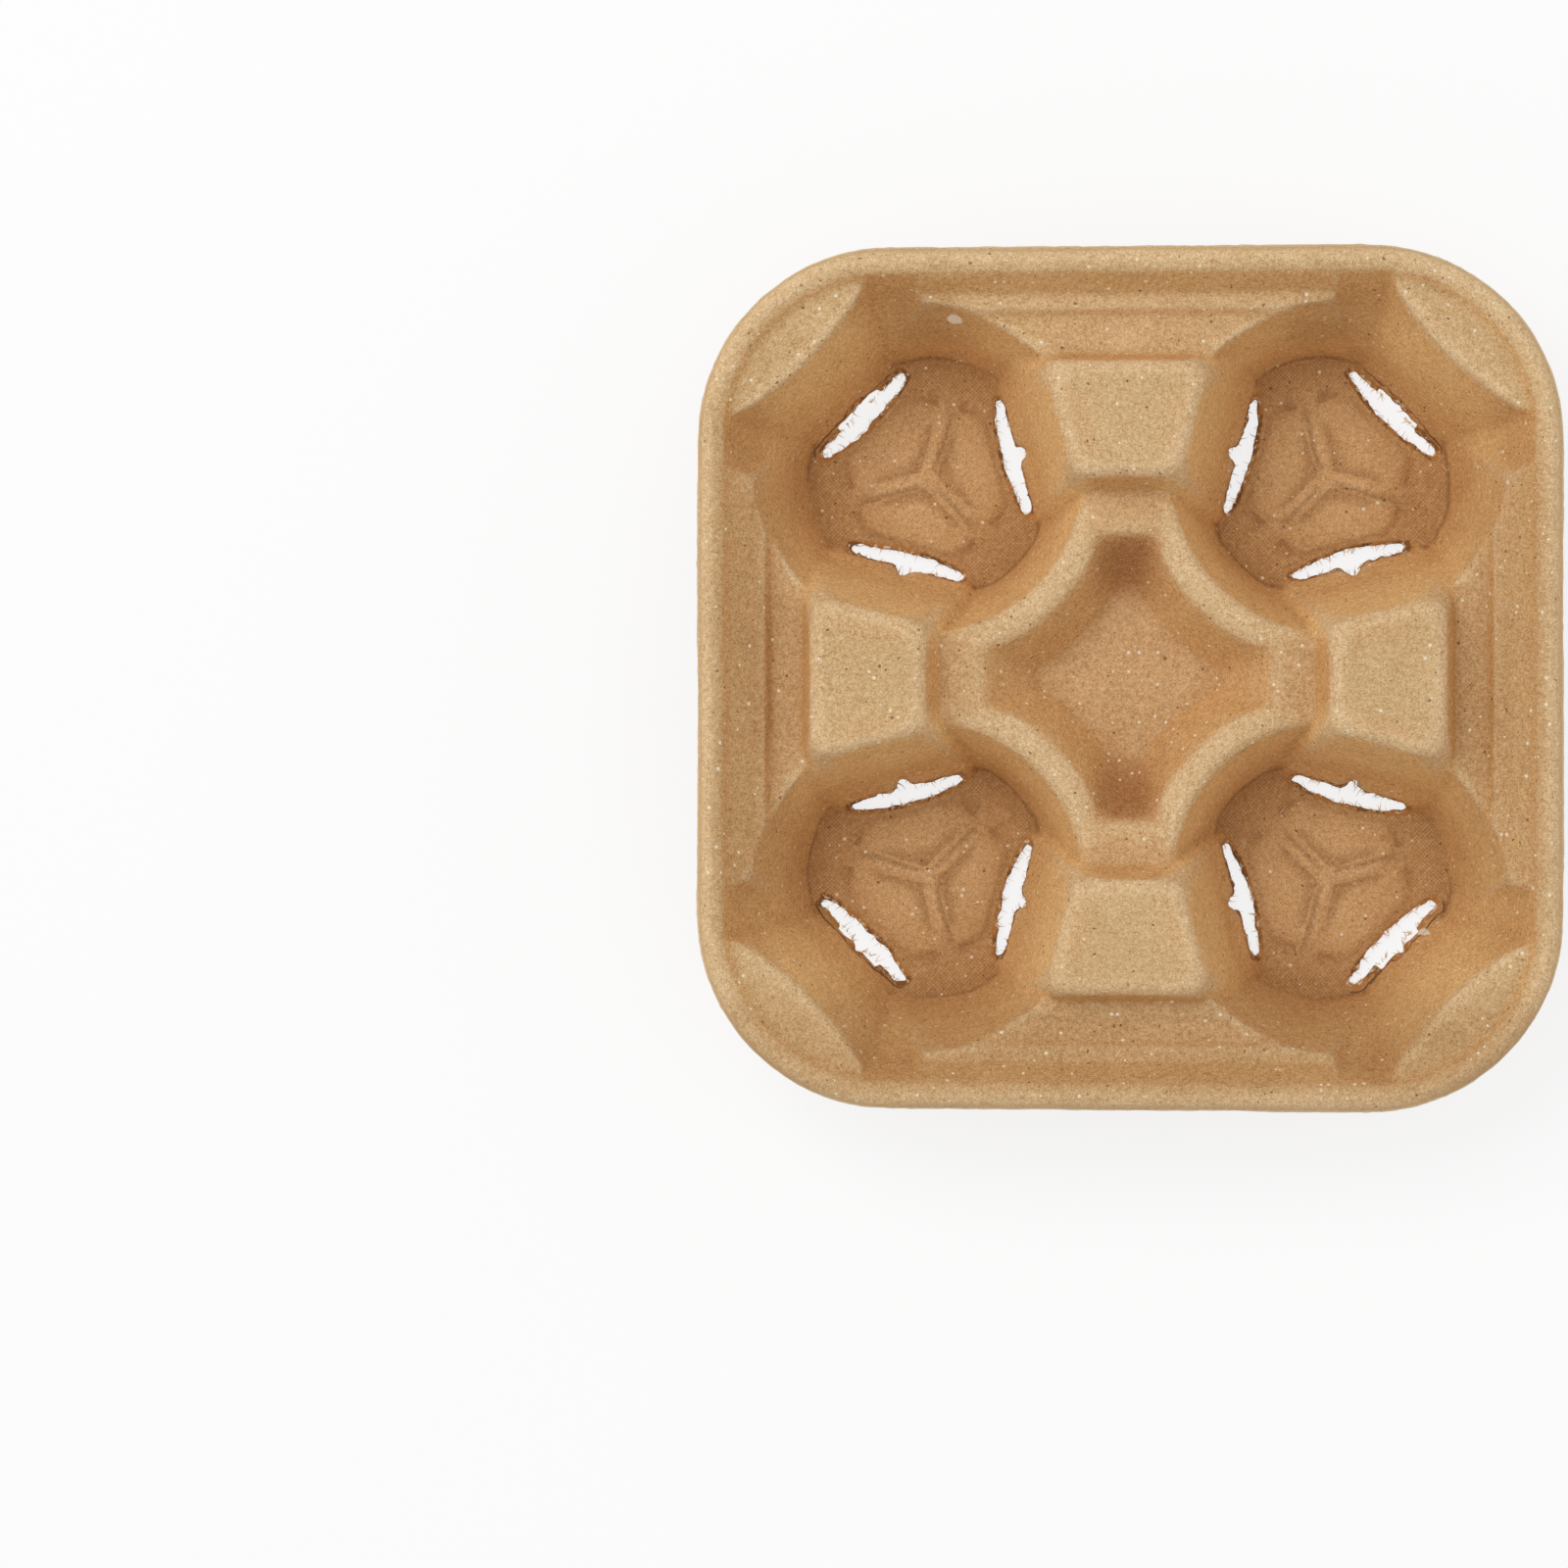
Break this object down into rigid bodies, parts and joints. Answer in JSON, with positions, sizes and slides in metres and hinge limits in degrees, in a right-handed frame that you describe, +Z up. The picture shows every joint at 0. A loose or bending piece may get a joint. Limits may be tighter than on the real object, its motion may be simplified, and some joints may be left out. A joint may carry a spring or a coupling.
{
  "type": "cup carrier",
  "caption": "Square moulded pulp tray for carrying drink cups, with drafted pockets, hollow posts between them, a star-shaped middle recess and a skirted rim.",
  "frame": {"origin": "centre of the tray's outline, on the plane the feet stand on", "axes": "+Z up out of the cup pockets, +X and +Y along the tray's sides; the sides with the stepped channel face +Y and -Y"},
  "size_m": [0.216, 0.216, 0.048],
  "materials": {
    "pulp": "matt brown moulded paper pulp with a felt-like face and fine fibres"
  },
  "bodies": {
    "root": {"carrier": "pulp"}
  },
  "joints": []
}
